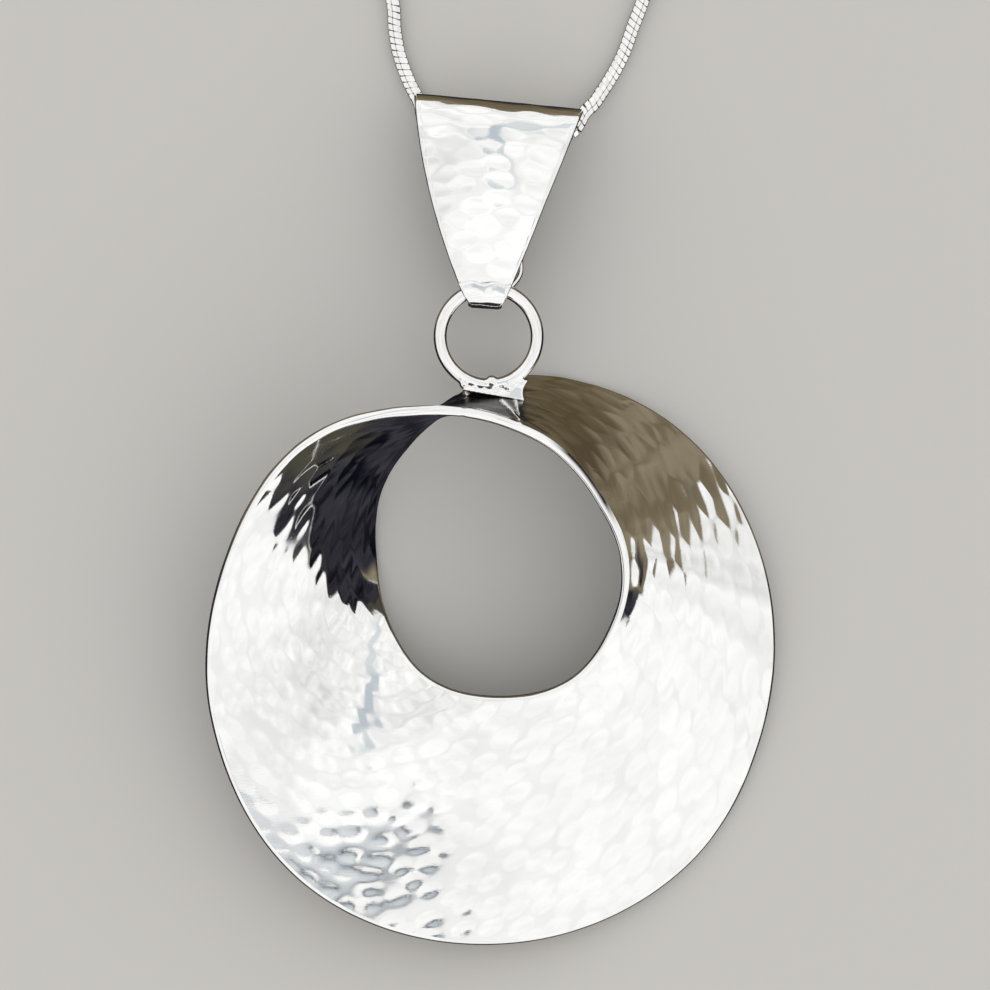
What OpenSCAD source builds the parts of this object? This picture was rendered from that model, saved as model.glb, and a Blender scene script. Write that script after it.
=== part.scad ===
// Hammered silver pendant lying on a table: a broad hoop with one half twist,
// the jump ring soldered to its top, the folded bail, and the snake chain that
// runs through the bail and closes round at the far end.
// The table is z = 0, the wearer's left-to-right line is X, and the chain lies
// away from the hoop along +Y.

/* [Hoop] */
// Thickness of the silver sheet
sheet_t = 1.0; // [0.8:0.05:1.2]
// How far each rim is worn down on both faces
rim_wear = 0.25; // [0.1:0.05:0.35]
// Angle between two neighbouring sections of the strip
section_step = 3; // [2, 3, 5, 6]
// Facets across the strip
strip_facets = 10; // [6:2:16]

/* [Jump ring and foot] */
// Outer diameter of the jump ring
ring_od = 9.7; // [9:0.1:10.5]
// Thickness of the ring's wire
ring_wire = 1.15; // [1:0.05:1.3]
// Height of the ring's middle over the table
ring_z = 6.0; // [5.8:0.1:6.2]
// Width of the foot where it meets the hoop
foot_w = 6.2; // [5.5:0.1:6.6]
// Thickness of the foot, front to back
foot_t = 1.9; // [1.5:0.1:2.2]

/* [Bail] */
// Thickness of the strap
bail_t = 0.55; // [0.5:0.05:0.6]
// Outer radius of the fold round the chain
fold_r = 4.25; // [4:0.05:4.3]
// Distance from the ring's wire to the middle of the fold
bail_reach = 13.0; // [12.5:0.1:13.5]
// Width of the strap at the fold
bail_top_w = 14.7; // [14:0.1:15.2]
// Width of the strap's tip, where it is lapped round the wire
bail_tip_w = 2.8; // [2.6:0.1:2.9]
// Room between the ring's wire and the strap round it
eye_room = 0.4; // [0.4:0.02:0.46]

/* [Chain] */
// Diameter of the snake chain
chain_d = 1.2; // [1.1:0.05:1.25]
// Sides of the chain's tube
chain_sides = 8; // [8:1:12]

/* [Clasp] */
// Outer diameter of each end cap
cap_d = 1.9; // [1.8:0.05:2]
// Length of each end cap
cap_len = 5.0; // [4.5:0.1:5.5]
// Outer diameter of the clasp's ring
clasp_d = 6.2; // [6:0.1:6.6]
// Thickness of the clasp's wire
clasp_wire = 0.8; // [0.7:0.05:0.85]

/* [Hidden] */
$fn = 96;

// The hoop is drawn round the middle of its hole; this moves everything so that
// the whole part, chain and all, is centred over the frame's origin.
frame_shift = [0, -90.1, 0];

silver = "gainsboro";
worn_silver = "silver";

// The hoop's strip, every 30 degrees round the hole, counted from its top
// towards the left. Columns: radius and height of one rim, radius and height of
// the other rim, and how far the middle of the strip bulges between them.
STRIP_STEP = 30;
STRIP = [
    [11.9, 12.2, 15.5,  0.8,  0.1],
    [14.8, 13.7, 13.5,  1.7,  0.3],
    [19.9, 13.7, 12.3,  1.2,  0.9],
    [23.9, 11.2, 11.2,  0.2,  1.2],
    [29.2,  7.7, 11.4,  2.2,  0.9],
    [33.7,  5.4, 12.3,  5.7,  0.1],
    [34.3,  2.7, 12.2,  7.5, -0.4],
    [32.2,  0.52, 12.3,  8.7, -0.3],
    [27.3,  0.7, 11.3, 11.2,  0.0],
    [23.0,  1.9, 10.6, 13.2, -0.1],
    [19.8,  1.6,  9.9, 13.2, -0.3],
    [17.2,  0.2, 10.5, 11.9, -0.2]
];

// The strip has a half twist, so a second turn round it meets the same rows
// with their rims changed over.
rows = len(STRIP);
function changed_over(row) = [row[2], row[3], row[0], row[1], -row[4]];
function strip_row(i) =
    let (j = (i + 2 * rows) % (2 * rows))
    j < rows ? STRIP[j] : changed_over(STRIP[j - rows]);
function cubic(a, b, c, d, t) =
    b + t * ((c - a) / 2 + t * (a - 2.5 * b + 2 * c - d / 2 + t * (1.5 * (b - c) + (d - a) / 2)));
function strip_at(angle) =
    let (i = floor(angle / STRIP_STEP), t = angle / STRIP_STEP - i)
    cubic(strip_row(i - 1), strip_row(i), strip_row(i + 1), strip_row(i + 2), t);

// A point in the middle of the sheet, across = 0 on one rim and 1 on the other
function sheet_middle(angle, across) =
    let (s = strip_at(angle),
         run = [s[2] - s[0], s[3] - s[1]],
         bulge = 4 * across * (1 - across) * s[4] / norm(run),
         r = s[0] + run[0] * across + run[1] * bulge,
         z = s[1] + run[1] * across - run[0] * bulge)
    [-r * sin(angle), r * cos(angle), z];
function unit(v) = v / norm(v);
function sheet_normal(angle, across) =
    let (along = sheet_middle(angle + 0.5, across) - sheet_middle(angle - 0.5, across),
         over = sheet_middle(angle, across + 0.01) - sheet_middle(angle, across - 0.01))
    unit(cross(along, over));

// Round one section: up one face, over the rim, and back down the other face
function strip_width(angle) = let (s = strip_at(angle)) norm([s[2] - s[0], s[3] - s[1]]);
function face_points(width) = concat(
    [[0, sheet_t / 2 - rim_wear]],
    [for (i = [0 : strip_facets]) [rim_wear / width + (1 - 2 * rim_wear / width) * i / strip_facets, sheet_t / 2]],
    [[1, sheet_t / 2 - rim_wear]]);
function section_outline(width) =
    let (face = face_points(width)) concat(face, [for (p = face) [1 - p[0], -p[1]]]);
function strip_section(angle) =
    [for (p = section_outline(strip_width(angle)))
        sheet_middle(angle, p[0]) + p[1] * sheet_normal(angle, p[0])];

module strip() {
    sections = 360 / section_step;
    points = [for (i = [0 : sections - 1]) strip_section(i * section_step)];
    around = len(points[0]);
    // The last section joins the first half a turn round its outline
    function corner(i, j) =
        i < sections ? i * around + j % around : (j + around / 2) % around;
    polyhedron(
        points = [for (ring = points) each ring],
        faces = [for (i = [0 : sections - 1], j = [0 : around - 1])
            each [
                [corner(i, j), corner(i, j + 1), corner(i + 1, j + 1)],
                [corner(i, j), corner(i + 1, j + 1), corner(i + 1, j)]
            ]]);
}

// The jump ring faces the viewer over the strip's narrow top
ring_mean_r = (ring_od - ring_wire) / 2;
ring_place = [-1.0, 19.4, ring_z];
foot_bottom_y = 13.65;
foot_turn = -7;
foot_h = 2.1;
foot_waist_r = 1.3;
foot_waist_cut = 0.35;

module jump_ring() {
    translate(ring_place) rotate_extrude() translate([ring_mean_r, 0]) circle(d = ring_wire, $fn = 32);
}

// A short saddle with a waisted side, which the ring's wire runs into
module foot() {
    translate([ring_place[0], foot_bottom_y, ring_z - foot_t / 2])
        rotate(foot_turn)
            linear_extrude(foot_t)
                difference() {
                    translate([-foot_w / 2, 0]) square([foot_w, foot_h]);
                    for (side = [-1, 1])
                        translate([side * (foot_w / 2 + foot_waist_r - foot_waist_cut), foot_h * 0.55])
                            circle(foot_waist_r, $fn = 48);
                }
}

module hammered_hoop() {
    color(silver) translate(frame_shift) {
        strip();
        jump_ring();
        foot();
    }
}

// The bail: a strap folded over the chain, both leaves running down to an eye
// round the ring's wire. Its side view is drawn with x along the strap.
eye_r = ring_wire / 2 + eye_room + bail_t;
leaf_r = 60;
lap_t = 0.3;
bail_turn = -3.5;
bail_left_r = 50;
bail_right_r = 160;
bail_skew = -0.35;
back_narrow = 2.5;
eye_place = ring_place + [0.25, ring_mean_r - 0.34, 0];
bail_drop = asin((eye_place[2] - fold_r) / bail_reach);
bail_low = -eye_r;
bail_high = bail_reach + fold_r;

// Where the leaf's long arc has its centre, below the strap's middle line
leaf_x = (pow(leaf_r - eye_r, 2) - pow(leaf_r - fold_r, 2) + pow(bail_reach, 2)) / (2 * bail_reach);
leaf_y = sqrt(pow(leaf_r - eye_r, 2) - pow(leaf_x, 2));

module bail_side_view(inset) {
    circle(eye_r - inset);
    translate([bail_reach, 0]) circle(fold_r - inset);
    intersection() {
        translate([leaf_x, -leaf_y]) circle(leaf_r - inset, $fn = 720);
        translate([leaf_x, leaf_y]) circle(leaf_r - inset, $fn = 720);
        fold_touch = (bail_reach - leaf_x) * leaf_r / (leaf_r - fold_r) + leaf_x;
        eye_touch = leaf_x - leaf_x * leaf_r / (leaf_r - eye_r);
        translate([eye_touch, -fold_r - 1]) square([fold_touch - eye_touch, 2 * fold_r + 2]);
    }
}

// The strap's end is lapped over the front of the eye
module bail_lap() {
    intersection() {
        translate([0, lap_t]) circle(eye_r);
        translate([-2 * eye_r, 0]) square([2 * eye_r, 3 * eye_r]);
    }
}

// The centre of the circle of radius r through a and b, to the right of a to b
function arc_centre(a, b, r) =
    let (d = b - a, stand = sqrt(r * r - d * d / 4)) (a + b) / 2 + stand * [d[1], -d[0]] / norm(d);

module bail_front_view() {
    left = arc_centre([-bail_tip_w / 2, bail_low], [-bail_top_w / 2, bail_high], bail_left_r);
    right = arc_centre([bail_top_w / 2, bail_high], [bail_tip_w / 2, bail_low], bail_right_r);
    translate([bail_skew, 0])
        intersection() {
            translate(left) circle(bail_left_r, $fn = 720);
            translate(right) circle(bail_right_r, $fn = 1440);
            translate([-bail_top_w, bail_low - 1]) square([2 * bail_top_w, bail_high - bail_low + 2]);
        }
}

// The back of the fold is narrower than its front, so the chain turns in there
module bail_back_taper() {
    half = bail_top_w / 2;
    translate([bail_skew, 2 * bail_high, 0]) rotate([90, 0, 0]) linear_extrude(4 * bail_high)
        polygon([
            [-half, 2 * fold_r], [-half, 0], [back_narrow - half, -fold_r], [back_narrow - half, -2 * fold_r],
            [half - back_narrow, -2 * fold_r], [half - back_narrow, -fold_r], [half, 0], [half, 2 * fold_r]
        ]);
}

module bail() {
    color(silver) translate(frame_shift + eye_place) rotate(bail_turn) rotate([-bail_drop, 0, 0])
        intersection() {
            rotate([90, 0, 90]) translate([0, 0, -bail_top_w]) linear_extrude(2 * bail_top_w)
                difference() {
                    union() {
                        bail_side_view(0);
                        bail_lap();
                    }
                    bail_side_view(bail_t);
                }
            translate([0, 0, -2 * fold_r]) linear_extrude(4 * fold_r) bail_front_view();
            bail_back_taper();
        }
}

// The chain's middle line, from the left end cap round through the bail to the
// right end cap, drawn round the middle of the hoop's hole
CHAIN_ROUTE = [
    [-4.8, 211.5, 0.95], [-8.4, 211.5, 0.95], [-11, 211.1, 0.85], [-14.5, 209.3, 0.6], [-19, 205, 0.6],
    [-23, 199.2, 0.6], [-26.5, 192.2, 0.6], [-29.4, 184.3, 0.6], [-31.8, 175.5, 0.6], [-33.8, 165.8, 0.6],
    [-35.2, 155, 0.6], [-36, 144, 0.6], [-36, 133, 0.6], [-34.8, 121.8, 0.6], [-32, 110, 0.6],
    [-28.2, 99, 0.6], [-24, 88.5, 0.6], [-19.8, 78.5, 0.6], [-16.2, 69.5, 0.6], [-13.2, 61, 0.6],
    [-10.9, 54.5, 0.6], [-9.55, 49.4, 0.6], [-9.35, 47, 0.6], [-9.05, 45, 0.6], [-8.6, 43.5, 0.6],
    [-8.1, 42.2, 0.6], [-7.6, 41.2, 0.65], [-7.1, 40.2, 0.8], [-6.85, 39, 1.15], [-6.6, 38, 1.5],
    [-6.4, 37.6, 1.65], [-5.4, 37.1, 1.65], [-3, 36.9, 1.65], [2, 36.6, 1.65], [4.5, 36.9, 1.8],
    [5.9, 37.4, 2.05], [6.6, 37.8, 2.2], [7, 38.4, 2.1], [7.55, 39.4, 1.7], [8.35, 40.2, 1.3],
    [8.95, 41.1, 0.95], [9.6, 42.1, 0.7], [10.4, 43.5, 0.6], [11.1, 45, 0.6], [11.8, 47, 0.6],
    [12.7, 49.4, 0.6], [14.8, 55.5, 0.6], [17.4, 63, 0.6], [20.4, 71.5, 0.6], [23.7, 81, 0.6], [27, 91, 0.6],
    [30.2, 101.5, 0.6], [33, 112.5, 0.6], [35, 123, 0.6], [36, 133.5, 0.6], [36, 144, 0.6], [35.2, 155, 0.6],
    [33.8, 165.8, 0.6], [31.8, 175.5, 0.6], [29.4, 184.3, 0.6], [26.5, 192.2, 0.6], [23, 199.2, 0.6],
    [19, 205, 0.6], [14.5, 209.3, 0.6], [11, 211.1, 0.85], [8.4, 211.5, 0.95], [4.8, 211.5, 0.95]
];

module snake_chain() {
    last = len(CHAIN_ROUTE) - 1;
    up = [0, 0, 1];
    function heading(i) = unit(CHAIN_ROUTE[min(i + 1, last)] - CHAIN_ROUTE[max(i - 1, 0)]);
    function ring(i) =
        let (side = unit(cross(heading(i), up)), top = cross(side, heading(i)))
        [for (j = [0 : chain_sides - 1])
            CHAIN_ROUTE[i] + chain_d / 2 * (cos(360 * j / chain_sides) * side + sin(360 * j / chain_sides) * top)];
    function corner(i, j) = i * chain_sides + j % chain_sides;
    color(worn_silver) translate(frame_shift)
        polyhedron(
            points = [for (i = [0 : last]) each ring(i)],
            faces = concat(
                [[for (j = [0 : chain_sides - 1]) corner(0, j)]],
                [for (i = [0 : last - 1], j = [0 : chain_sides - 1])
                    [corner(i, j), corner(i + 1, j), corner(i + 1, j + 1), corner(i, j + 1)]],
                [[for (j = [chain_sides - 1 : -1 : 0]) corner(last, j)]]));
}

// At the far end each chain end is glued in a cap with a standing eye, and the
// clasp's ring lies through both eyes
cap_mid_z = cap_d / 2;
cap_wall = 0.28;
cap_floor = 1.0;
far_y = 211.5;
clasp_mean_r = (clasp_d - clasp_wire) / 2;
cap_eye_wire = 0.5;
cap_eye_r = 0.9;
cap_eye_z = cap_eye_r + cap_eye_wire / 2;
clasp_z = cap_eye_wire + clasp_wire / 2 + 0.1;

// Drawn for the left end: the cap opens towards -X and its eye is at +X
module end_cap() {
    eye_x = -clasp_mean_r;
    cap_tip = eye_x - cap_eye_r + cap_eye_wire / 4;
    translate([cap_tip - cap_len, 0, cap_mid_z]) rotate([0, 90, 0])
        difference() {
            cylinder(d = cap_d, h = cap_len);
            translate([0, 0, -1]) cylinder(d = cap_d - 2 * cap_wall, h = cap_len + 1 - cap_floor);
        }
    translate([eye_x, 0, cap_eye_z]) rotate([90, 0, 0])
        rotate_extrude($fn = 48) translate([cap_eye_r, 0]) circle(d = cap_eye_wire, $fn = 24);
}

module end_cap_left() {
    color(worn_silver) translate(frame_shift + [0, far_y, 0]) end_cap();
}

module end_cap_right() {
    color(worn_silver) translate(frame_shift + [0, far_y, 0]) mirror([1, 0, 0]) end_cap();
}

module clasp() {
    color(worn_silver) translate(frame_shift + [0, far_y, clasp_z])
        rotate_extrude() translate([clasp_mean_r, 0]) circle(d = clasp_wire, $fn = 32);
}

hammered_hoop();
bail();
snake_chain();
end_cap_left();
end_cap_right();
clasp();
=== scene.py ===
# A hammered silver hoop pendant with one half twist, hung by a jump ring and a
# folded bail on a snake chain, all lying on a table. Everything is in metres,
# and the tables of points are in millimetres.
import math

import bmesh
import bpy
import numpy as np
from mathutils import Matrix, Vector, kdtree


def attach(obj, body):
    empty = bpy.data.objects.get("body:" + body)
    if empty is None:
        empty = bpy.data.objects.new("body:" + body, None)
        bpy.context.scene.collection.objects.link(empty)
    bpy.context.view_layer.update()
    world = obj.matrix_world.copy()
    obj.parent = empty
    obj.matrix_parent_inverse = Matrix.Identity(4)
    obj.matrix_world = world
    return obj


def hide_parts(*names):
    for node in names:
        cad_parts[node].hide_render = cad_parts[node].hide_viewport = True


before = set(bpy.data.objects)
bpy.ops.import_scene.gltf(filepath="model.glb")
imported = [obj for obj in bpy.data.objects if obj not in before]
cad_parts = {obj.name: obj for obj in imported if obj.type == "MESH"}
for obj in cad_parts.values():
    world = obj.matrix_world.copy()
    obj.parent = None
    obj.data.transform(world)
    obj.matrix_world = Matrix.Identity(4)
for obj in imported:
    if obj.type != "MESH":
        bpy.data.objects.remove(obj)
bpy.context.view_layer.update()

# The camera looks straight down on the pendant from 600 mm over the table, as the
# photograph does. The hoop's hole has its middle at HOLE.
MM = 0.001
HOLE = Vector((0, -90.1 * MM, 0))
CAMERA_AT = (-0.44, 5.46, 600)
HALF_VIEW = 44.0
camera_data = bpy.data.cameras.new("camera")
camera_data.angle = 2 * math.atan(HALF_VIEW / CAMERA_AT[2])
camera = bpy.data.objects.new("camera", camera_data)
camera.location = HOLE + Vector(CAMERA_AT) * MM
bpy.context.scene.collection.objects.link(camera)
bpy.context.scene.camera = camera


# The hoop is one broad strip of silver sheet, hammered on both faces, bent round with
# one half twist and soldered end to end, so that a single rim goes round it twice.
SHEET = 1.0
RIM_ROUND = 0.22
# The mesh's steps along the strip, across each face and round each rim.
STRIP_ALONG = 500
STRIP_ACROSS = 92
RIM_STEPS = 5
# The strip's section at every ROW_TURN degrees from the top towards the left, for the
# first turn: radius and height of one rim, radius and height of the other, the bulge.
ROW_TURN = 30
STRIP = [
    (11.9, 12.2, 15.5, 0.8, 0.1),
    (14.8, 13.7, 13.5, 1.7, 0.3),
    (19.9, 13.7, 12.3, 1.2, 0.9),
    (23.9, 11.2, 11.2, 0.2, 1.2),
    (29.2, 7.7, 11.4, 2.2, 0.9),
    (33.7, 5.4, 12.3, 5.7, 0.1),
    (34.3, 2.7, 12.2, 7.5, -0.4),
    (32.2, 0.52, 12.3, 8.7, -0.3),
    (27.3, 0.7, 11.3, 11.2, 0.0),
    (23.0, 1.9, 10.6, 13.2, -0.1),
    (19.8, 1.6, 9.9, 13.2, -0.3),
    (17.2, 0.2, 10.5, 11.9, -0.2),
]


def smooth_between(a, b, c, d, t):
    """A smooth run from b, at t = 0, to c, at t = 1, between their neighbours a and d."""
    bend = a - 2.5 * b + 2 * c - d / 2 + t * (1.5 * (b - c) + (d - a) / 2)
    return b + t * ((c - a) / 2 + t * bend)


def strip_section(turn):
    """The table's row at any angle. On the second turn the two rims have changed over."""
    rows = np.array(STRIP)
    changed_over = rows[:, [2, 3, 0, 1, 4]] * [1, 1, 1, 1, -1]
    rows = np.concatenate([rows, changed_over])
    step = turn / ROW_TURN
    first = np.floor(step).astype(int)
    neighbours = (rows[(first + shift) % len(rows)] for shift in (-1, 0, 1, 2))
    return smooth_between(*neighbours, (step - first)[:, None])


def strip_middle(turn, across):
    """Places on the middle of the sheet, by the angle round and the share across."""
    section = strip_section(turn)
    out, up = section[:, 2] - section[:, 0], section[:, 3] - section[:, 1]
    bulge = 4 * across * (1 - across) * section[:, 4] / np.hypot(out, up)
    radius = section[:, 0] + out * across + up * bulge
    height = section[:, 1] + up * across - out * bulge
    angle = np.radians(turn)
    return np.stack([-radius * np.sin(angle), radius * np.cos(angle), height], 1)


def unit(vectors):
    return vectors / np.linalg.norm(vectors, axis=1)[:, None]


def strip_frame(turn, across, turn_step=0.5, across_step=0.01):
    """The way along the strip at each place, and the way out of its upper face."""
    along = unit(strip_middle(turn + turn_step, across) - strip_middle(turn - turn_step, across))
    over = strip_middle(turn, across + across_step) - strip_middle(turn, across - across_step)
    return along, unit(np.cross(along, over))


def sheet_outline(width, across_steps, sheet, rim_round):
    """The section of a sheet, once round it: how far across, and how far off its middle."""
    lean = rim_round / width
    rim = np.radians(90 - 180 * np.arange(1, RIM_STEPS) / RIM_STEPS)
    face = np.linspace(0, 1, across_steps + 1)
    across = np.concatenate([lean + (1 - 2 * lean) * face, 1 - lean + lean * np.cos(rim)])
    off = np.concatenate([np.ones(across_steps + 1), np.sin(rim)]) * sheet / 2
    return np.concatenate([across, 1 - across]), np.concatenate([off, -off])


def outline_places(step, corner, widths, across_steps, sheet, rim_round):
    """How far across and how far off the middle the corners of all the sections are."""
    across = np.empty(len(step))
    off = np.empty(len(step))
    for s in np.unique(step):
        here = step == s
        section_across, section_off = sheet_outline(widths[s], across_steps, sheet, rim_round)
        across[here], off[here] = section_across[corner[here]], section_off[corner[here]]
    return across, off


# A planishing hammer leaves shallow dishes that meet in crisp ridges. Each blow
# keeps a little oval clear round it, longer along the strip than across it. Places
# are lifted off the sheet, so that a blow on one face isn't near any on the other.
LIFT = 2
BLOW_ROOM = 0.62
NEAR_BLOWS = 7
FLAT_RIDGE = 1.8


def hammer_blows(places, outward, along, long, wide, lean, seed):
    """Blows picked at random from the places offered, each as long, wide and leaning as given there."""
    picks = np.random.default_rng(seed).permutation(len(places))
    lean = np.radians(lean)[:, None]
    along = along * np.cos(lean) + np.cross(outward, along) * np.sin(lean)
    over = np.cross(outward, along)
    lifted = places + LIFT * outward
    kept = np.empty((0, 3))
    chosen = []
    for i in picks:
        away = kept - lifted[i]
        room = np.hypot(away @ over[i], away @ outward[i]) / wide[i]
        room = room**2 + (away @ along[i] / long[i]) ** 2
        if not len(kept) or room.min() > BLOW_ROOM:
            chosen.append(i)
            kept = np.vstack([kept, lifted[i]])
    along = along[chosen] / long[chosen, None]
    over = over[chosen] / wide[chosen, None]
    return {"at": kept, "along": along, "over": over}


def dishes(blows, places, outward):
    """How high each place is in its dish: 0 at the bottom, about 1 on a ridge."""
    tree = kdtree.KDTree(len(blows["at"]))
    for i, place in enumerate(blows["at"]):
        tree.insert(place, i)
    tree.balance()
    lifted = places + LIFT * outward
    near = np.array([[hit[1] for hit in tree.find_n(place, NEAR_BLOWS)] for place in lifted])
    away = lifted[:, None] - blows["at"][near]
    along = 2 * (away * blows["along"][near]).sum(2)
    over = 2 * (away * blows["over"][near]).sum(2)
    # Each blow has its own strength and depth, by its number.
    strength = 0.8 + 0.4 * ((near * 0.618) % 1)
    shallow = 0.25 * ((near * 0.414) % 1)
    return np.minimum(((along**2 + over**2) * strength + shallow).min(1), FLAT_RIDGE)


def slow_waves(places, size):
    """A gentle unevenness of the sheet, from -1 to 1."""
    leans = ((0.9, 0.5, 0.3), (-0.6, 0.8, 0.4), (0.2, -0.9, 0.7), (0.7, 0.1, -1.1), (-1.2, -0.4, 0.5))
    waves = [np.sin(places @ np.array(lean) * 6.28 / size + 2.1 * i) for i, lean in enumerate(leans)]
    return sum(waves) / len(waves)


def finished_piece(name, shape, material):
    """A piece of the one body made from a bmesh, with its material."""
    bmesh.ops.recalc_face_normals(shape, faces=shape.faces)
    mesh = bpy.data.meshes.new(name)
    shape.to_mesh(mesh)
    shape.free()
    mesh.shade_smooth()
    mesh.materials.append(material)
    piece = bpy.data.objects.new(name, mesh)
    bpy.context.scene.collection.objects.link(piece)
    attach(piece, "root")
    return piece


class Shade:
    """A socket of a node tree. Sums on it add Math nodes, and add() puts in any other node."""

    def __init__(self, tree, socket=None):
        self.tree, self.socket = tree, socket

    def add(self, kind, settings, inputs, output=0):
        made = self.tree.nodes.new("ShaderNode" + kind)
        for name, value in settings.items():
            setattr(made, name, value)
        for name, value in inputs.items():
            if isinstance(value, Shade):
                self.tree.links.new(value.socket, made.inputs[name])
            else:
                made.inputs[name].default_value = value
        return Shade(self.tree, made.outputs[output]) if made.outputs else None

    def mix(self, amount, first, second, blend="MIX"):
        """A colour between two others."""
        kind = {"data_type": "RGBA", "blend_type": blend}
        return self.add("Mix", kind, {0: amount, 6: first, 7: second}, 2)

    def sum(self, operation, first, second):
        return self.add("Math", {"operation": operation}, {0: first, 1: second})

    def __add__(self, other):
        return self.sum("ADD", self, other)

    def __sub__(self, other):
        return self.sum("SUBTRACT", self, other)

    def __rsub__(self, other):
        return self.sum("SUBTRACT", other, self)

    def __mul__(self, other):
        return self.sum("MULTIPLY", self, other)

    __radd__, __rmul__ = __add__, __mul__

    def ramp(self, low, high):
        """0 up to low, 1 from high on, and a smooth rise between."""
        return self.add("MapRange", {"interpolation_type": "SMOOTHSTEP"}, {0: self, 1: low, 2: high})


def silver(name, colour, worn_and_shaded, gloss, scuff, grain, ridge_name=None, painted_shade_name=None):
    """Polished silver: fine scratches and cloudy worn patches, with scuffed ridges painted darker as shade,
    and painted shade from an attribute if it has them.
    """
    material = bpy.data.materials.new(name)
    material.use_nodes = True
    tree = material.node_tree
    tree.nodes.clear()
    start = Shade(tree)
    place = start.add("TexCoord", {}, {}, "Object")
    cloud = start.add("TexNoise", {}, {"Vector": place, "Scale": 240.0, "Detail": 4.0, "Roughness": 0.6})
    brushed = start.add(
        "Mapping", {}, {"Vector": place, "Rotation": (0.2, 0.1, 0.6), "Scale": (1.0, 9.0, 4.0)})
    streak = start.add(
        "TexNoise", {}, {"Vector": brushed, "Scale": 900.0, "Detail": 3.0, "Roughness": 0.7})
    pit = start.add("TexVoronoi", {}, {"Vector": place, "Scale": 1900.0})
    worn = cloud.ramp(0.45, 0.75)
    wear_and_ridge_shade = worn * 0.5
    if ridge_name:
        ridge = start.add("Attribute", {"attribute_name": ridge_name}, {}, "Fac")
        wear_and_ridge_shade = wear_and_ridge_shade + ridge.ramp(0.7, 1.25) * 1.1
    # Painted shade: the ridges' colour goes towards the darker second colour, as the dish outlines are
    # shaded; the cloudy patches are real tone.
    tone = start.mix(wear_and_ridge_shade * 0.5, (*colour, 1), (*worn_and_shaded, 1))
    tone = start.mix(streak.ramp(0.62, 0.8) * 0.18, tone, (0.62, 0.6, 0.58, 1), "MULTIPLY")
    rough = wear_and_ridge_shade * scuff + streak * 0.03 + gloss
    # Painted shade: the attribute takes the colour nearly to black below the foot and along part of the
    # rim.
    if painted_shade_name:
        painted_shade = start.add("Attribute", {"attribute_name": painted_shade_name}, {}, "Fac")
        tone = start.mix(painted_shade * (0.8 + cloud * 0.4), tone, (0.035, 0.03, 0.032, 1))
        rough = rough + painted_shade * 0.25
    height = streak * 0.35 + cloud * 0.5 + pit.ramp(0.0, 0.25) * 0.25
    bump = start.add("Bump", {}, {"Strength": grain, "Distance": 0.00002, "Height": height})
    body = start.add(
        "BsdfPrincipled", {}, {"Base Color": tone, "Metallic": 1.0, "Roughness": rough, "Normal": bump})
    start.add("OutputMaterial", {}, {"Surface": body})
    return material


def sheet_mesh(grid_along, outline_steps, placed):
    """A flat grid, one row of it for each section, moved into place and sewn up where its edges meet."""
    shape = bmesh.new()
    bmesh.ops.create_grid(shape, x_segments=grid_along, y_segments=outline_steps, size=0.5)
    flat = np.array([v.co for v in shape.verts])
    step = np.rint((flat[:, 0] + 0.5) * grid_along).astype(int)
    corner = np.rint((flat[:, 1] + 0.5) * outline_steps).astype(int) % outline_steps
    places, marks = placed(step, corner)
    for vert, place in zip(shape.verts, places):
        vert.co = HOLE + Vector(place) * MM
    for name, values in marks.items():
        layer = shape.verts.layers.float.new(name)
        for vert, value in zip(shape.verts, values):
            vert[layer] = value
    bmesh.ops.remove_doubles(shape, verts=shape.verts, dist=0.002 * MM)
    return shape


# The dishes are some 0.03 mm deep, on slow waves of up to 0.1 mm. The blows' length,
# width and lean are given by the angle round the strip.
DISH_DEEP = 0.026
DISH_RIDGE = 1.3
WAVE_DEEP = 0.024
BLOWS = [
    (0, 3.3, 1.5, 0), (75, 3.3, 1.6, -8), (110, 2.8, 1.5, 10), (150, 2.5, 1.6, 38), (200, 3.0, 1.6, 20),
    (260, 3.6, 1.8, 0), (300, 4.2, 2.0, -25), (340, 3.6, 1.6, 0), (360, 3.3, 1.5, 0),
]
# Where the dishes are shallower or deeper: x, y, reach and share.
DEPTHS = [
    (-22.5, -20.0, 7.0, -0.75),
    (23.0, -3.0, 7.0, -0.75),
    (-16.0, 7.0, 6.0, 0.8),
    (6.0, -23.0, 12.0, -0.3),
]
# The inner rim is bent up a little at LIP_TURN, its edge has a dark line of painted shade near
# LINE_TURN, and the ridges' painted shade and scuffing are weaker near WORN_TURN. Each has its spread in
# degrees.
LIP_TURN, LIP_SPREAD = 250, 12
LIP_WIDE = 2.4
LIP_RISE = 0.13
LINE_TURN, LINE_SPREAD = 312, 20
WORN_TURN, WORN_SPREAD = 245, 55
# The strip's ends meet in a soldered joint a little left of the top. Below the foot the
# wall is darkened with painted shade, crossed by raised runs of solder: each run's start, stop and width.
JOINT_TURN = 14.0
JOINT_DEEP = 0.07
JOINT_WIDE = 0.14
FOOT_BOTTOM = 11.9
SHADE_MIDDLE = -1.6
SOLDER_HIGH = 0.13
SOLDER_RUNS = [
    ((0.15, 13.8), (1.85, 11.9), 0.15),
    ((1.35, 13.8), (1.95, 11.9), 0.12),
    ((-5.5, 13.3), (-2.9, 14.15), 0.1),
]

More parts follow.
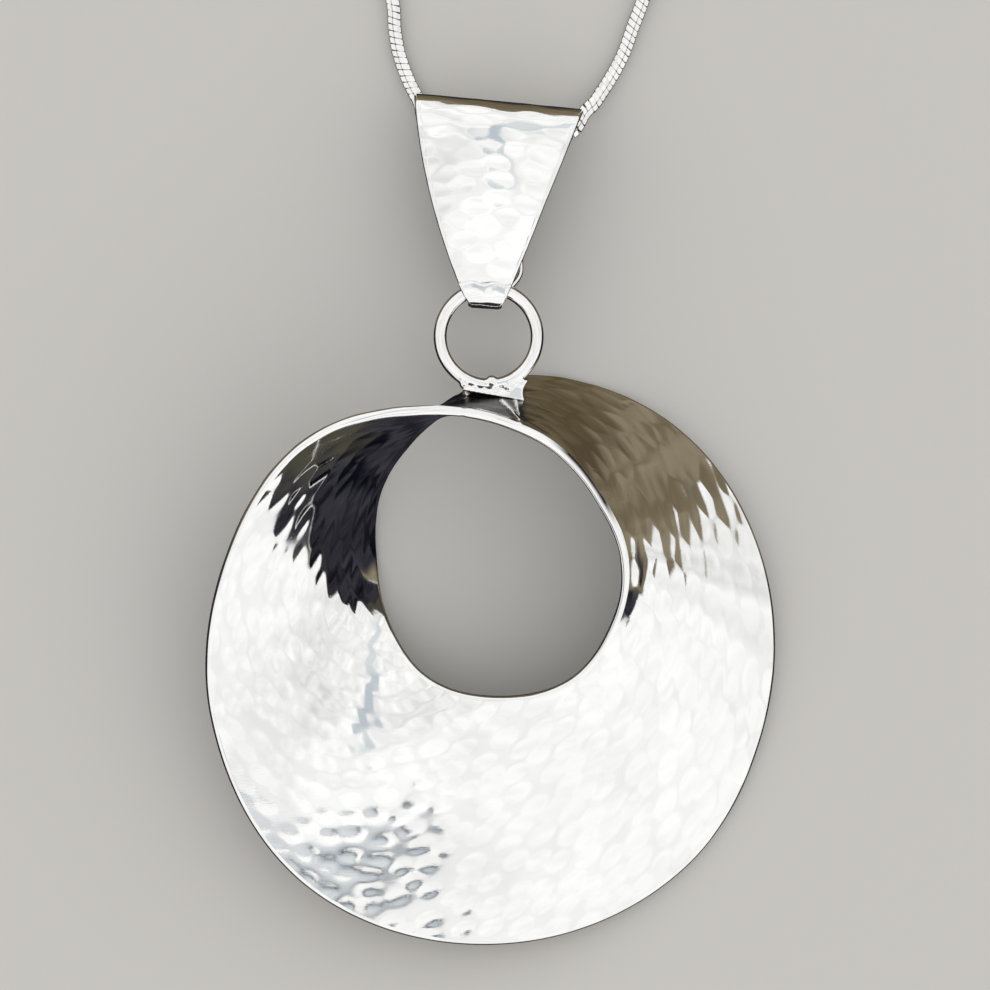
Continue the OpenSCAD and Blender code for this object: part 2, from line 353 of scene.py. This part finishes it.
# Places are offered for blows at random, on the two faces in turn.
GUESSES = 26000
rng = np.random.default_rng(3)
guess_turn = rng.uniform(0, 360, GUESSES)
guess_across = rng.uniform(0.01, 0.99, GUESSES)
guess_side = np.where(np.arange(GUESSES) % 2, 1.0, -1.0)[:, None]
guess_along, guess_out = strip_frame(guess_turn, guess_across)
guess_long, guess_wide, guess_lean = (
    np.interp(guess_turn, *np.array(BLOWS)[:, [0, column]].T) for column in (1, 2, 3))
guess_out = guess_side * guess_out
strip_blows = hammer_blows(
    strip_middle(guess_turn, guess_across) + 0.5 * SHEET * guess_out,
    guess_out, guess_along, guess_long, guess_wide, guess_lean, 5)


def from_line(places, start, stop):
    """How far each place is from a line, seen from above."""
    start, run = np.array(start), np.array(stop) - np.array(start)
    t = np.clip((places[:, :2] - start) @ run / (run @ run), 0, 1)[:, None]
    return np.linalg.norm(places[:, :2] - start - t * run, axis=1)


def hill(x, middle, spread):
    """1 at its middle, falling away smoothly on both sides."""
    return np.exp(-(((x - middle) / spread) ** 2))


def below_foot(places, outward):
    return (outward[:, 1] > 0.5) * (places[:, 1] > 0) * (places[:, 2] < FOOT_BOTTOM)


def solder(places, outward):
    """The thin runs of solder below the foot, from 0 to 1."""
    runs = [(from_line(places, start, stop) / wide) ** 2 for start, stop, wide in SOLDER_RUNS]
    return below_foot(places, outward) * np.exp(-np.min(runs, axis=0))


def shade_below_foot(places, outward):
    """The painted shade below the foot, with the runs of solder left clear of it."""
    under = np.clip(5.2 - np.abs(places[:, 0] - SHADE_MIDDLE) * 1.3, 0, 1)
    return below_foot(places, outward) * under * (1 - solder(places, outward))


def strip_placed(step, corner):
    """Where each corner of the strip goes, with its marks: how near a ridge, which darkens and scuffs it,
    and how much painted shade falls on it.
    """
    turn = step * 360 / STRIP_ALONG
    sections = strip_section(np.arange(STRIP_ALONG + 1) * 360 / STRIP_ALONG)
    widths = np.hypot(*(sections[:, [0, 1]] - sections[:, [2, 3]]).T)
    across, off = outline_places(step, corner, widths, STRIP_ACROSS, SHEET, RIM_ROUND)
    _, up = strip_frame(turn, across)
    side = np.sign(off + 1e-9)[:, None]
    middle = strip_middle(turn, across)
    high = dishes(strip_blows, middle + 0.5 * SHEET * side * up, side * up)
    on_face = np.abs(off) / (SHEET / 2)
    lifted = middle + LIFT * side * up
    waves = 2 + slow_waves(lifted, 9.0) + slow_waves(lifted, 5.0)
    sink = DISH_DEEP * (DISH_RIDGE - np.minimum(high, DISH_RIDGE)) + WAVE_DEEP * waves
    for x, y, reach, share in DEPTHS:
        sink = sink * (1 + share * hill(np.hypot(middle[:, 0] - x, middle[:, 1] - y), 0, reach))
    from_joint = (turn - JOINT_TURN) / 360 * 2 * math.pi * np.hypot(middle[:, 0], middle[:, 1])
    groove = JOINT_DEEP * hill(from_joint, 0, JOINT_WIDE)
    run = SOLDER_HIGH * solder(middle + 0.5 * SHEET * side * up, side * up)
    lip = hill(turn, LIP_TURN, LIP_SPREAD) * LIP_RISE
    lip = lip * np.clip(1 - (1 - across) * widths[step] / LIP_WIDE, 0, 1) ** 2
    places = middle + (off + lip - side[:, 0] * on_face * (sink + groove - run))[:, None] * up
    # The ridge mark gives the ridges their painted shade and their scuffing.
    crisp = high * (1 - 0.3 * hill(turn, WORN_TURN, WORN_SPREAD))
    # A thin dark line of painted shade along one rim edge near LINE_TURN.
    on_line = np.isin(corner, (STRIP_ACROSS, STRIP_ACROSS + 1))
    rim_shade_line = on_line * np.clip(2.2 * hill(turn, LINE_TURN, LINE_SPREAD) - 0.3, 0, 1)
    # Painted shade, below the foot and in a line along the rim.
    painted_shade = np.maximum(shade_below_foot(places, side * up), rim_shade_line)
    return places, {"ridge": np.where(on_face > 0.98, crisp, 0.4), "painted_shade": painted_shade}


# Hammered silver: its second colour is both the ridges' painted shade and the tone of the cloudy worn
# patches.
hammered = silver(
    "hammered_silver", (0.96, 0.957, 0.945), (0.86, 0.86, 0.855), 0.025, 0.05, 0.2, "ridge", "painted_shade")
outline_steps = 2 * (STRIP_ACROSS + RIM_STEPS)
strip = finished_piece(
    "hammered_strip", sheet_mesh(STRIP_ALONG, outline_steps, strip_placed), hammered)
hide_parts("hammered_hoop")


# The jump ring is round wire, soldered with a short waisted foot to the hoop's top
# over the joint. The voxel remesh runs the two together with a soft solder fillet.
RING_AT = (-1.0, 19.4, 6.0)
RING_MEAN = 4.275
RING_WIRE = 1.15
FOOT_AT = (-0.68, 13.75, 6.0)
FOOT_TURN = -10.0
FOOT_WIDTH = 5.6
FOOT_LONG = 2.3
FOOT_WAIST = 0.1
FOOT_UNDERCUT = 0.5
FOOT_THICK = 1.5
FOOT_THIN = 0.8
SADDLE_ROUND = 4.4
BEAD_UP = 0.12
SOLDER_BEADS = [
    (-2.1, 15.25, 0.5), (-1.2, 14.85, 0.45), (-0.4, 14.75, 0.42), (0.6, 14.7, 0.5), (1.7, 15.0, 0.55),
    (2.3, 15.7, 0.35), (0.27, 15.42, 0.57),
]

ring_middle = HOLE + Vector(RING_AT) * MM
ring = bmesh.new()
bmesh.ops.create_cube(ring, size=1)
bmesh.ops.subdivide_edges(ring, edges=ring.edges[:], cuts=9, use_grid_fill=True)
foot_turned = Matrix.Rotation(math.radians(FOOT_TURN), 4, "Z")
foot_place = Matrix.Translation(HOLE + Vector(FOOT_AT) * MM) @ foot_turned
ring_seen = foot_place.inverted() @ ring_middle / MM
for v in ring.verts:
    x, y, z = v.co.x * FOOT_WIDTH, v.co.y + 0.5, v.co.z
    saddle = ring_seen.y - math.sqrt(max(SADDLE_ROUND**2 - (x - ring_seen.x) ** 2, 0.1))
    undercut = FOOT_UNDERCUT * (z + 0.5)
    waist = 1 - FOOT_WAIST * math.sin(math.pi * y)
    thick = FOOT_THICK - (FOOT_THICK - FOOT_THIN) * min(y * 1.6, 1.0)
    v.co = (x * waist, undercut + y * (min(saddle, FOOT_LONG) - undercut), z * thick)
bmesh.ops.transform(ring, matrix=foot_place @ Matrix.Scale(MM, 4), verts=ring.verts[:])
for x, y, radius in SOLDER_BEADS:
    bead_place = Matrix.Translation(HOLE + Vector((RING_AT[0] + x, y, RING_AT[2] + BEAD_UP)) * MM)
    bmesh.ops.create_icosphere(ring, subdivisions=3, radius=radius * MM, matrix=bead_place)
wire_at = Matrix.Translation(ring_middle + Vector((RING_MEAN * MM, 0, 0)))
wire_place = wire_at @ Matrix.Rotation(math.pi / 2, 4, "X")
wire = bmesh.ops.create_circle(
    ring, cap_ends=False, segments=28, radius=RING_WIRE / 2 * MM, matrix=wire_place)["verts"]
wire_edges = list({e for v in wire for e in v.link_edges})
bmesh.ops.spin(
    ring, geom=wire_edges, cent=ring_middle, axis=(0, 0, 1), angle=2 * math.pi, steps=112, use_merge=True)
bmesh.ops.remove_doubles(ring, verts=ring.verts, dist=0.001 * MM)
plain = silver("wire_silver", (0.95, 0.945, 0.93), (0.9, 0.895, 0.88), 0.05, 0.09, 0.25)
jump_ring = finished_piece("jump_ring", ring, plain)
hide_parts("hammered_hoop")
melt = jump_ring.modifiers.new("solder", "REMESH")
melt.mode, melt.voxel_size, melt.use_smooth_shade = "VOXEL", 0.08 * MM, True
flow = jump_ring.modifiers.new("flow", "SMOOTH")
flow.factor, flow.iterations = 0.5, 6


# The bail is a tapered strap, hammered on its outside and folded over the chain.
# Both tips come down to the jump ring: the back one is wrapped round its wire and
# lapped over the front. The side view is drawn with the strap's length along y.
BAIL_AT = (RING_AT[0] + 0.25, RING_AT[1] + RING_MEAN - 0.34, RING_AT[2])
BAIL_TURN = -3.5
BAIL_REACH = 13.0
BAIL_SHEET = 0.55
EYE_MEAN = 1.25
FOLD_MEAN = 3.975
FOLD_OUTER = 4.25
FOLD_SQUARE = 2.8
FOLD_SHORT = 0.92
LEAF_ROUND = 59.725
LEAF_MIDDLE = (18.47, 55.48)
LEAF_RUN = (0.4, 12.6)
LEAF_CROWN = 80
CROWN_MIDDLE = 0.6
# Half the strap's width at its tip, how much more it is at the fold, and how far each
# edge stands out past that: all along, between the tip and the fold, and at the most.
# The right edge also flares a little by the fold.
TIP_HALF = 1.4
FOLD_WIDER = 5.95
TIP_AT = -1.525
LEAF_LONG = 18.775
LEFT_SHIFT, LEFT_SWELL, LEFT_MOST = -0.6, 1.0, -8.0
RIGHT_SHIFT, RIGHT_SWELL, RIGHT_MOST = -0.35, 0.3, 7.25
RIGHT_FLARE = 0.3
# How far in the back leaf's edges lie, how much wider its end is by the ring, how much
# narrower the back of the fold is, and how round both tips are.
BACK_LEFT_IN, BACK_RIGHT_IN = 0.57, 0.45
BACK_END_WIDER = 0.75
BACK_NARROW = 2.5
TIP_ROUND = 1.2
FOLD_SKEW = 0.035
TIP_RAGGED = 0.14
RAGGED_STEPS = 14
BAIL_ALONG = 300
BAIL_ACROSS = 34


def bail_path():
    """The middle of the strap in the side view, from its front tip round the fold to its lapped tip."""
    def arc(middle, radius, start, stop, steps, square=2.0):
        """A run round a middle, from one radius to another: a circle, or squarer than one."""
        a = np.radians(np.linspace(start, stop, steps))
        r = np.linspace(radius[0], radius[1], steps)
        r = r / (np.abs(np.cos(a)) ** square + np.abs(np.sin(a)) ** square) ** (1 / square)
        return np.stack([middle[0] + r * np.cos(a), middle[1] + r * np.sin(a)], 1)

    y = np.linspace(*LEAF_RUN, 60)
    z = np.sqrt(LEAF_ROUND**2 - (y - LEAF_MIDDLE[0]) ** 2) - LEAF_MIDDLE[1]
    front_tip = arc((0, 0), (EYE_MEAN, EYE_MEAN), 120, 100, 6)
    fold = arc((BAIL_REACH, 0), (FOLD_MEAN, FOLD_MEAN), 88, -88, 80, FOLD_SQUARE)
    fold[:, 0] = BAIL_REACH + FOLD_SHORT * (fold[:, 0] - BAIL_REACH)
    wrap = arc((0, 0), (EYE_MEAN, EYE_MEAN), -100, -180, 24, 3.0)
    lap = arc((0, 0), (EYE_MEAN, 1.8), -184, -258, 24, 3.5)
    tip = np.array([[0.0, 1.86], [0.45, 1.9]])
    points = np.concatenate(
        [front_tip, np.stack([y, z], 1), fold, np.stack([y, -z], 1)[::-1], wrap, lap, tip])
    length = np.concatenate([[0], np.cumsum(np.linalg.norm(np.diff(points, axis=0), axis=1))])
    even = np.linspace(0, length[-1], BAIL_ALONG + 1)
    return np.stack([np.interp(even, length, points[:, i]) for i in (0, 1)], 1), length[-1]


def bail_edges(y, z):
    """How far to the left and to the right of its axis the strap reaches."""
    t = np.clip((y - TIP_AT) / LEAF_LONG, 0, 1)
    swell = 4 * t * (1 - t)
    left = -(TIP_HALF + FOLD_WIDER * t + LEFT_SWELL * swell) + LEFT_SHIFT
    right = TIP_HALF + FOLD_WIDER * t + RIGHT_SWELL * swell + RIGHT_SHIFT
    right = right + RIGHT_FLARE * np.clip((y - 8) / 8, 0, 1)
    behind = np.clip(-z / 1.5, 0, 1)
    left = left + BACK_LEFT_IN * behind
    right = right - behind * (BACK_RIGHT_IN - BACK_END_WIDER * hill(y, 1.8, 1.5))
    rounded = TIP_ROUND * np.maximum(-0.9 - y, 0) ** 2
    narrow = BACK_NARROW * np.maximum(-z, 0) / FOLD_OUTER
    return np.maximum(left + rounded, LEFT_MOST + narrow), np.minimum(right - rounded, RIGHT_MOST - narrow)


path, path_length = bail_path()
path_along = unit(np.gradient(path, axis=0))


def bail_point(step, across, off):
    """Places on the strap, by the step along it, the share across and the way off its middle."""
    here, ahead = path[step], path_along[step]
    left, right = bail_edges(here[:, 0], here[:, 1])
    x = left + (right - left) * across
    outward = np.stack([-ahead[:, 1], ahead[:, 0]], 1)
    y, z = (here + off[:, None] * outward).T
    z = z - outward[:, 1] * (x - CROWN_MIDDLE) ** 2 / LEAF_CROWN
    y = y - FOLD_SKEW * x * np.clip(y / 17, 0, 1)
    last_steps = np.clip((step - BAIL_ALONG + RAGGED_STEPS) / RAGGED_STEPS, 0, 1)
    y = y + TIP_RAGGED * np.sin(3.1 * x + 0.8) * last_steps
    drop = -math.asin((BAIL_AT[2] - FOLD_OUTER) / BAIL_REACH)
    turned = Matrix.Rotation(math.radians(BAIL_TURN), 3, "Z") @ Matrix.Rotation(drop, 3, "X")
    return np.stack([x, y, z], 1) @ np.array(turned).T + np.array(BAIL_AT)


def bail_frame(step, across):
    """The way along the strap at each place, and the way out of it."""
    behind, ahead = np.maximum(step - 1, 0), np.minimum(step + 1, BAIL_ALONG)
    none = np.zeros(len(step))
    along = unit(bail_point(ahead, across, none) - bail_point(behind, across, none))
    out = unit(bail_point(step, across, none + 0.1) - bail_point(step, across, none))
    return along, out


# How many places are offered for the bail's blows, and how long and wide each blow is.
BAIL_GUESSES = 9000
BAIL_BLOW = (1.6, 2.6)
BAIL_DISH_DEEP = 0.024
BAIL_WAVE_DEEP = 0.022
guess_step = rng.integers(0, BAIL_ALONG, BAIL_GUESSES)
guess_across = rng.uniform(0.01, 0.99, BAIL_GUESSES)
guess_along, guess_out = bail_frame(guess_step, guess_across)
bail_blows = hammer_blows(
    bail_point(guess_step, guess_across, np.full(BAIL_GUESSES, BAIL_SHEET / 2)), guess_out, guess_along,
    *(np.full(BAIL_GUESSES, size) for size in BAIL_BLOW), np.zeros(BAIL_GUESSES), 8)


def bail_placed(step, corner):
    """Where each corner of the strap goes. Both tips are filed thin."""
    left, right = bail_edges(path[:, 0], path[:, 1])
    from_end = np.minimum(step, BAIL_ALONG - step) * path_length / BAIL_ALONG
    sheet = BAIL_SHEET * np.clip(0.6 + from_end / 1.6, 0, 1) * np.clip(0.2 + from_end / 0.2, 0, 1)
    across, off = outline_places(step, corner, right - left, BAIL_ACROSS, 1.0, RIM_ROUND)
    on_face = np.abs(off) * 2
    flat = bail_point(step, across, sheet * off)
    _, out = bail_frame(step, across)
    outer = (off > 0).astype(float)
    high = dishes(bail_blows, bail_point(step, across, np.full(len(step), BAIL_SHEET / 2)), out)
    waves = 2 + slow_waves(flat + 20, 7.0) + slow_waves(flat, 4.5)
    dish = BAIL_DISH_DEEP * (DISH_RIDGE - np.minimum(high, DISH_RIDGE))
    sink = outer * on_face * (dish + BAIL_WAVE_DEEP * waves)
    places = flat - (sink * np.clip(from_end / 0.5, 0, 1))[:, None] * out
    # The bail's ridge mark darkens its ridges with painted shade and scuffs them.
    return places, {"ridge": np.where(outer > 0, 0.7 * high, 0.4), "painted_shade": np.zeros(len(step))}


bail_shape = sheet_mesh(BAIL_ALONG, 2 * (BAIL_ACROSS + RIM_STEPS), bail_placed)
bmesh.ops.holes_fill(bail_shape, edges=[e for e in bail_shape.edges if e.is_boundary], sides=0)
bail = finished_piece("hammered_bail", bail_shape, hammered)
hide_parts("bail")


# The snake chain is a tube of little nested collars, each with a slanted edge. Its
# route runs from the left end cap round through the bail to the right end cap.
CHAIN_ROUTE = [
    (-4.8, 211.5, 0.95), (-8.4, 211.5, 0.95), (-11, 211.1, 0.85), (-14.5, 209.3, 0.6), (-19, 205, 0.6),
    (-23, 199.2, 0.6), (-26.5, 192.2, 0.6), (-29.4, 184.3, 0.6), (-31.8, 175.5, 0.6), (-33.8, 165.8, 0.6),
    (-35.2, 155, 0.6), (-36, 144, 0.6), (-36, 133, 0.6), (-34.8, 121.8, 0.6), (-32, 110, 0.6),
    (-28.2, 99, 0.6), (-24, 88.5, 0.6), (-19.8, 78.5, 0.6), (-16.2, 69.5, 0.6), (-13.2, 61, 0.6),
    (-10.9, 54.5, 0.6), (-9.55, 49.4, 0.6), (-9.35, 47, 0.6), (-9.05, 45, 0.6), (-8.6, 43.5, 0.6),
    (-8.1, 42.2, 0.6), (-7.6, 41.2, 0.65), (-7.1, 40.2, 0.8), (-6.85, 39, 1.15), (-6.6, 38, 1.5),
    (-6.4, 37.6, 1.65), (-5.4, 37.1, 1.65), (-3, 36.9, 1.65), (2, 36.6, 1.65), (4.5, 36.9, 1.8),
    (5.9, 37.4, 2.05), (6.6, 37.8, 2.2), (7, 38.4, 2.1), (7.55, 39.4, 1.7), (8.35, 40.2, 1.3),
    (8.95, 41.1, 0.95), (9.6, 42.1, 0.7), (10.4, 43.5, 0.6), (11.1, 45, 0.6), (11.8, 47, 0.6),
    (12.7, 49.4, 0.6), (14.8, 55.5, 0.6), (17.4, 63, 0.6), (20.4, 71.5, 0.6), (23.7, 81, 0.6),
    (27, 91, 0.6), (30.2, 101.5, 0.6), (33, 112.5, 0.6), (35, 123, 0.6), (36, 133.5, 0.6), (36, 144, 0.6),
    (35.2, 155, 0.6), (33.8, 165.8, 0.6), (31.8, 175.5, 0.6), (29.4, 184.3, 0.6), (26.5, 192.2, 0.6),
    (23, 199.2, 0.6), (19, 205, 0.6), (14.5, 209.3, 0.6), (11, 211.1, 0.85), (8.4, 211.5, 0.95),
    (4.8, 211.5, 0.95),
]
CURVE_STEPS = 24
ROUTE_END = 0.3
COLLAR_PITCH = 0.585
COLLAR_LENGTH = 0.575
COLLAR_SLANT = -0.37
COLLAR_NECK = 0.76
# How far on each ring of the collar's skin is, and its size against the one before.
COLLAR_RINGS = [(0.075, 1.0), (COLLAR_LENGTH - 0.12, 1.0), (0.045, 0.8)]
# The collar's section, across and over: a little out of round, with a groove on its top.
COLLAR_SECTION = [
    (0.6, -0.1), (0.6, 0.24), (0.55, 0.33), (0.19, 0.5), (0.15, 0.36), (0.1, 0.53), (-0.2, 0.54),
    (-0.54, 0.36), (-0.6, 0.26), (-0.6, -0.1), (-0.45, -0.46), (0.0, -0.58), (0.45, -0.46),
]

route = np.array(CHAIN_ROUTE)
padded = np.concatenate([2 * route[:1] - route[1:2], route, 2 * route[-1:] - route[-2:-1]])
steps = np.linspace(0, 1, CURVE_STEPS, endpoint=False)[:, None]
stretches = zip(padded[:-3], padded[1:-2], padded[2:-1], padded[3:])
smooth = np.concatenate([*(smooth_between(*four, steps) for four in stretches), route[-1:]])
run = np.concatenate([[0], np.cumsum(np.linalg.norm(np.diff(smooth, axis=0), axis=1))])
collars = int(run[-1] / COLLAR_PITCH)
stations = np.linspace(ROUTE_END, run[-1] - ROUTE_END, collars)
middles = np.stack([np.interp(stations, run, smooth[:, i]) for i in range(3)], 1)
headings = unit(np.gradient(middles, axis=0))

chain_shape = bmesh.new()
bmesh.ops.create_circle(chain_shape, cap_ends=False, segments=len(COLLAR_SECTION), radius=1)
for v, (across, over) in zip(chain_shape.verts, COLLAR_SECTION):
    v.co = (across, over, -COLLAR_LENGTH / 2)
edges = chain_shape.edges[:]
for rise, swell in COLLAR_RINGS:
    swept = bmesh.ops.extrude_edge_only(chain_shape, edges=edges)["geom"]
    edges = [g for g in swept if isinstance(g, bmesh.types.BMEdge)]
    for v in swept:
        if isinstance(v, bmesh.types.BMVert):
            v.co.z += rise
            v.co.xy *= swell
for v in chain_shape.verts:
    if v.co.z < -0.49 * COLLAR_LENGTH:
        v.co.xy *= COLLAR_NECK
    v.co.z += COLLAR_SLANT * v.co.x
collar = chain_shape.verts[:] + chain_shape.edges[:] + chain_shape.faces[:]
for middle, heading in zip(middles, headings):
    side = Vector(heading).cross((0, 0, 1)).normalized()
    top = side.cross(heading)
    turn = Matrix((side, top, heading)).transposed().to_4x4()
    place = Matrix.Translation(HOLE + Vector(middle) * MM) @ turn @ Matrix.Scale(MM, 4)
    copy = bmesh.ops.duplicate(chain_shape, geom=collar)["geom"]
    corners = [g for g in copy if isinstance(g, bmesh.types.BMVert)]
    bmesh.ops.transform(chain_shape, matrix=place, verts=corners)
bmesh.ops.delete(chain_shape, geom=collar, context="VERTS")
chain_silver = silver("chain_silver", (0.96, 0.955, 0.94), (0.9, 0.895, 0.88), 0.07, 0.1, 0.15)
chain = finished_piece("snake_chain_collars", chain_shape, chain_silver)
chain.data.shade_flat()
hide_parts("snake_chain")


# The chain's ends are glued in turned caps with soldered eyes, and a plain ring
# closes them: these stay as they are in the frame, in plain polished silver.
finding_silver = silver("finding_silver", (0.93, 0.925, 0.91), (0.85, 0.845, 0.83), 0.12, 0.12, 0.2)
for name in ("end_cap_left", "end_cap_right", "clasp"):
    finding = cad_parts[name]
    finding.data.materials.clear()
    finding.data.materials.append(finding_silver)


# A pale matt table. The silver doesn't mirror it: it mirrors the dark lower half of
# the room instead, as the photograph's silver mirrors what is round and under it.
TABLE_HALF = 1.5
table_shape = bmesh.new()
bmesh.ops.create_grid(table_shape, x_segments=1, y_segments=1, size=TABLE_HALF)
table_mesh = bpy.data.meshes.new("table")
table_shape.to_mesh(table_mesh)
table_shape.free()
table = bpy.data.objects.new("table", table_mesh)
bpy.context.scene.collection.objects.link(table)
table_paint = bpy.data.materials.new("table_paint")
table_paint.use_nodes = True
table_paint.node_tree.nodes.clear()
paint = Shade(table_paint.node_tree)
matt = paint.add(
    "BsdfPrincipled", {}, {"Base Color": (0.62, 0.6, 0.57, 1), "Roughness": 0.9, "Specular IOR Level": 0.1})
paint.add("OutputMaterial", {}, {"Surface": matt})
table_mesh.materials.append(table_paint)
table.visible_glossy = False


# A white room overhead, softly uneven, with a dim grey patch where the camera is and
# a grey stand beyond it. Below is a dark front and a brown back, which rise a little.
CAMERA_PATCH = (0.175, -0.245, 0.954)
STAND_HALF = 0.0225
STAND_SOFT = 0.0075
PALE_GREY = (0.72, 0.77, 0.78, 1)
STAND_GREY = (0.52, 0.58, 0.63, 1)
STAND_TOP = (0.7, 0.75, 0.77, 1)
PATCH_FRONT = (0.4, 0.45, 0.5, 1)
PATCH_BACK = (0.82, 0.84, 0.86, 1)
PATCH_EDGE = (0.03, 0.045, 0.06, 1)
FRONT_DARK = ((0.004, 0.004, 0.008, 1), (0.042, 0.042, 0.052, 1))
FRONT_FAR = (0.072, 0.068, 0.05, 1)
BACK_LOW = ((0.085, 0.065, 0.035, 1), (0.16, 0.128, 0.075, 1))
BACK_HIGH = ((0.15, 0.12, 0.075, 1), (0.26, 0.22, 0.15, 1))

world = bpy.data.worlds.new("studio")
bpy.context.scene.world = world
world.use_nodes = True
world.node_tree.nodes.clear()
room = Shade(world.node_tree)
look = room.add("TexCoord", {}, {}, "Generated")
right, back, high = (room.add("SeparateXYZ", {}, {"Vector": look}, axis) for axis in ("X", "Y", "Z"))
uneven = room.add("TexNoise", {}, {"Vector": look, "Scale": 8.0, "Detail": 3.0})
bright_side = (right * 0.1 - back * 0.9).ramp(-0.1, 0.5)
white = (uneven - 0.5) * (0.8 - bright_side * 0.4) + 0.86 + bright_side * 0.14
white = white + high.ramp(0.93, 0.99) * 0.12 + back.ramp(0.1, 0.4) * 0.08
bow = back * 0.25 - back * back * back * back * 2.0
broad = back.ramp(0.05, 0.2) * 0.042 + back.ramp(0.42, 0.6) * 0.07
off_stand = room.sum("ABSOLUTE", right + bow, 0.0) - broad
stand = 1 - off_stand.ramp(STAND_HALF - STAND_SOFT, STAND_HALF + STAND_SOFT)
stand = stand * back.ramp(-0.02, 0.01) * (1 - back.ramp(0.75, 0.78))
off_patch = room.add("VectorMath", {"operation": "DISTANCE"}, {0: look, 1: CAMERA_PATCH}, 1)
patch = 1 - off_patch.ramp(0.062, 0.068)
dim = room.sum("MAXIMUM", stand, patch) * high.ramp(0.0, 0.3)
edge = patch * off_patch.ramp(0.044, 0.054) * (1.0 - back.ramp(-0.27, -0.22) * 0.7)
fade = room.mix(back.ramp(-0.31, -0.18), PATCH_FRONT, PATCH_BACK)
grey = room.mix(back.ramp(0.04, 0.25), PALE_GREY, STAND_GREY)
grey = room.mix(back.ramp(0.42, 0.6), grey, STAND_TOP)
grey = room.mix(edge, room.mix(patch, grey, fade), PATCH_EDGE)
overhead = room.mix(dim, room.add("CombineColor", {}, {0: white, 1: white, 2: white}), grey)
grain_place = room.add("Mapping", {}, {"Vector": look, "Scale": (5.0, 2.0, 5.0)})
grain = room.add("TexNoise", {}, {"Vector": grain_place, "Scale": 1.1, "Detail": 2.0}).ramp(0.3, 0.7)
front = room.mix(back.ramp(-0.85, -0.65), FRONT_FAR, room.mix(grain, *FRONT_DARK))
rear = room.mix(high.ramp(-0.5, -0.3), room.mix(grain, *BACK_LOW), room.mix(grain, *BACK_HIGH))
behind = back + high.ramp(-0.12, 0.0) * 0.2 + high.ramp(0.0, 0.05) * 0.45
dusk = room.mix(behind.ramp(0.1, 0.3) * high.ramp(-0.85, -0.65), front, rear)
lift = high + room.sum("MINIMUM", room.sum("MAXIMUM", back, 0.0), 0.25) * 0.4
lift = lift - (1 - back.ramp(-0.5, -0.3)) * 0.08
everything = room.mix(lift.ramp(0.07, 0.09), dusk, overhead)
shine = room.add("Background", {}, {"Color": everything, "Strength": 1.0})
room.add("OutputWorld", {}, {"Surface": shine})
bpy.context.scene.view_settings.view_transform = "Standard"
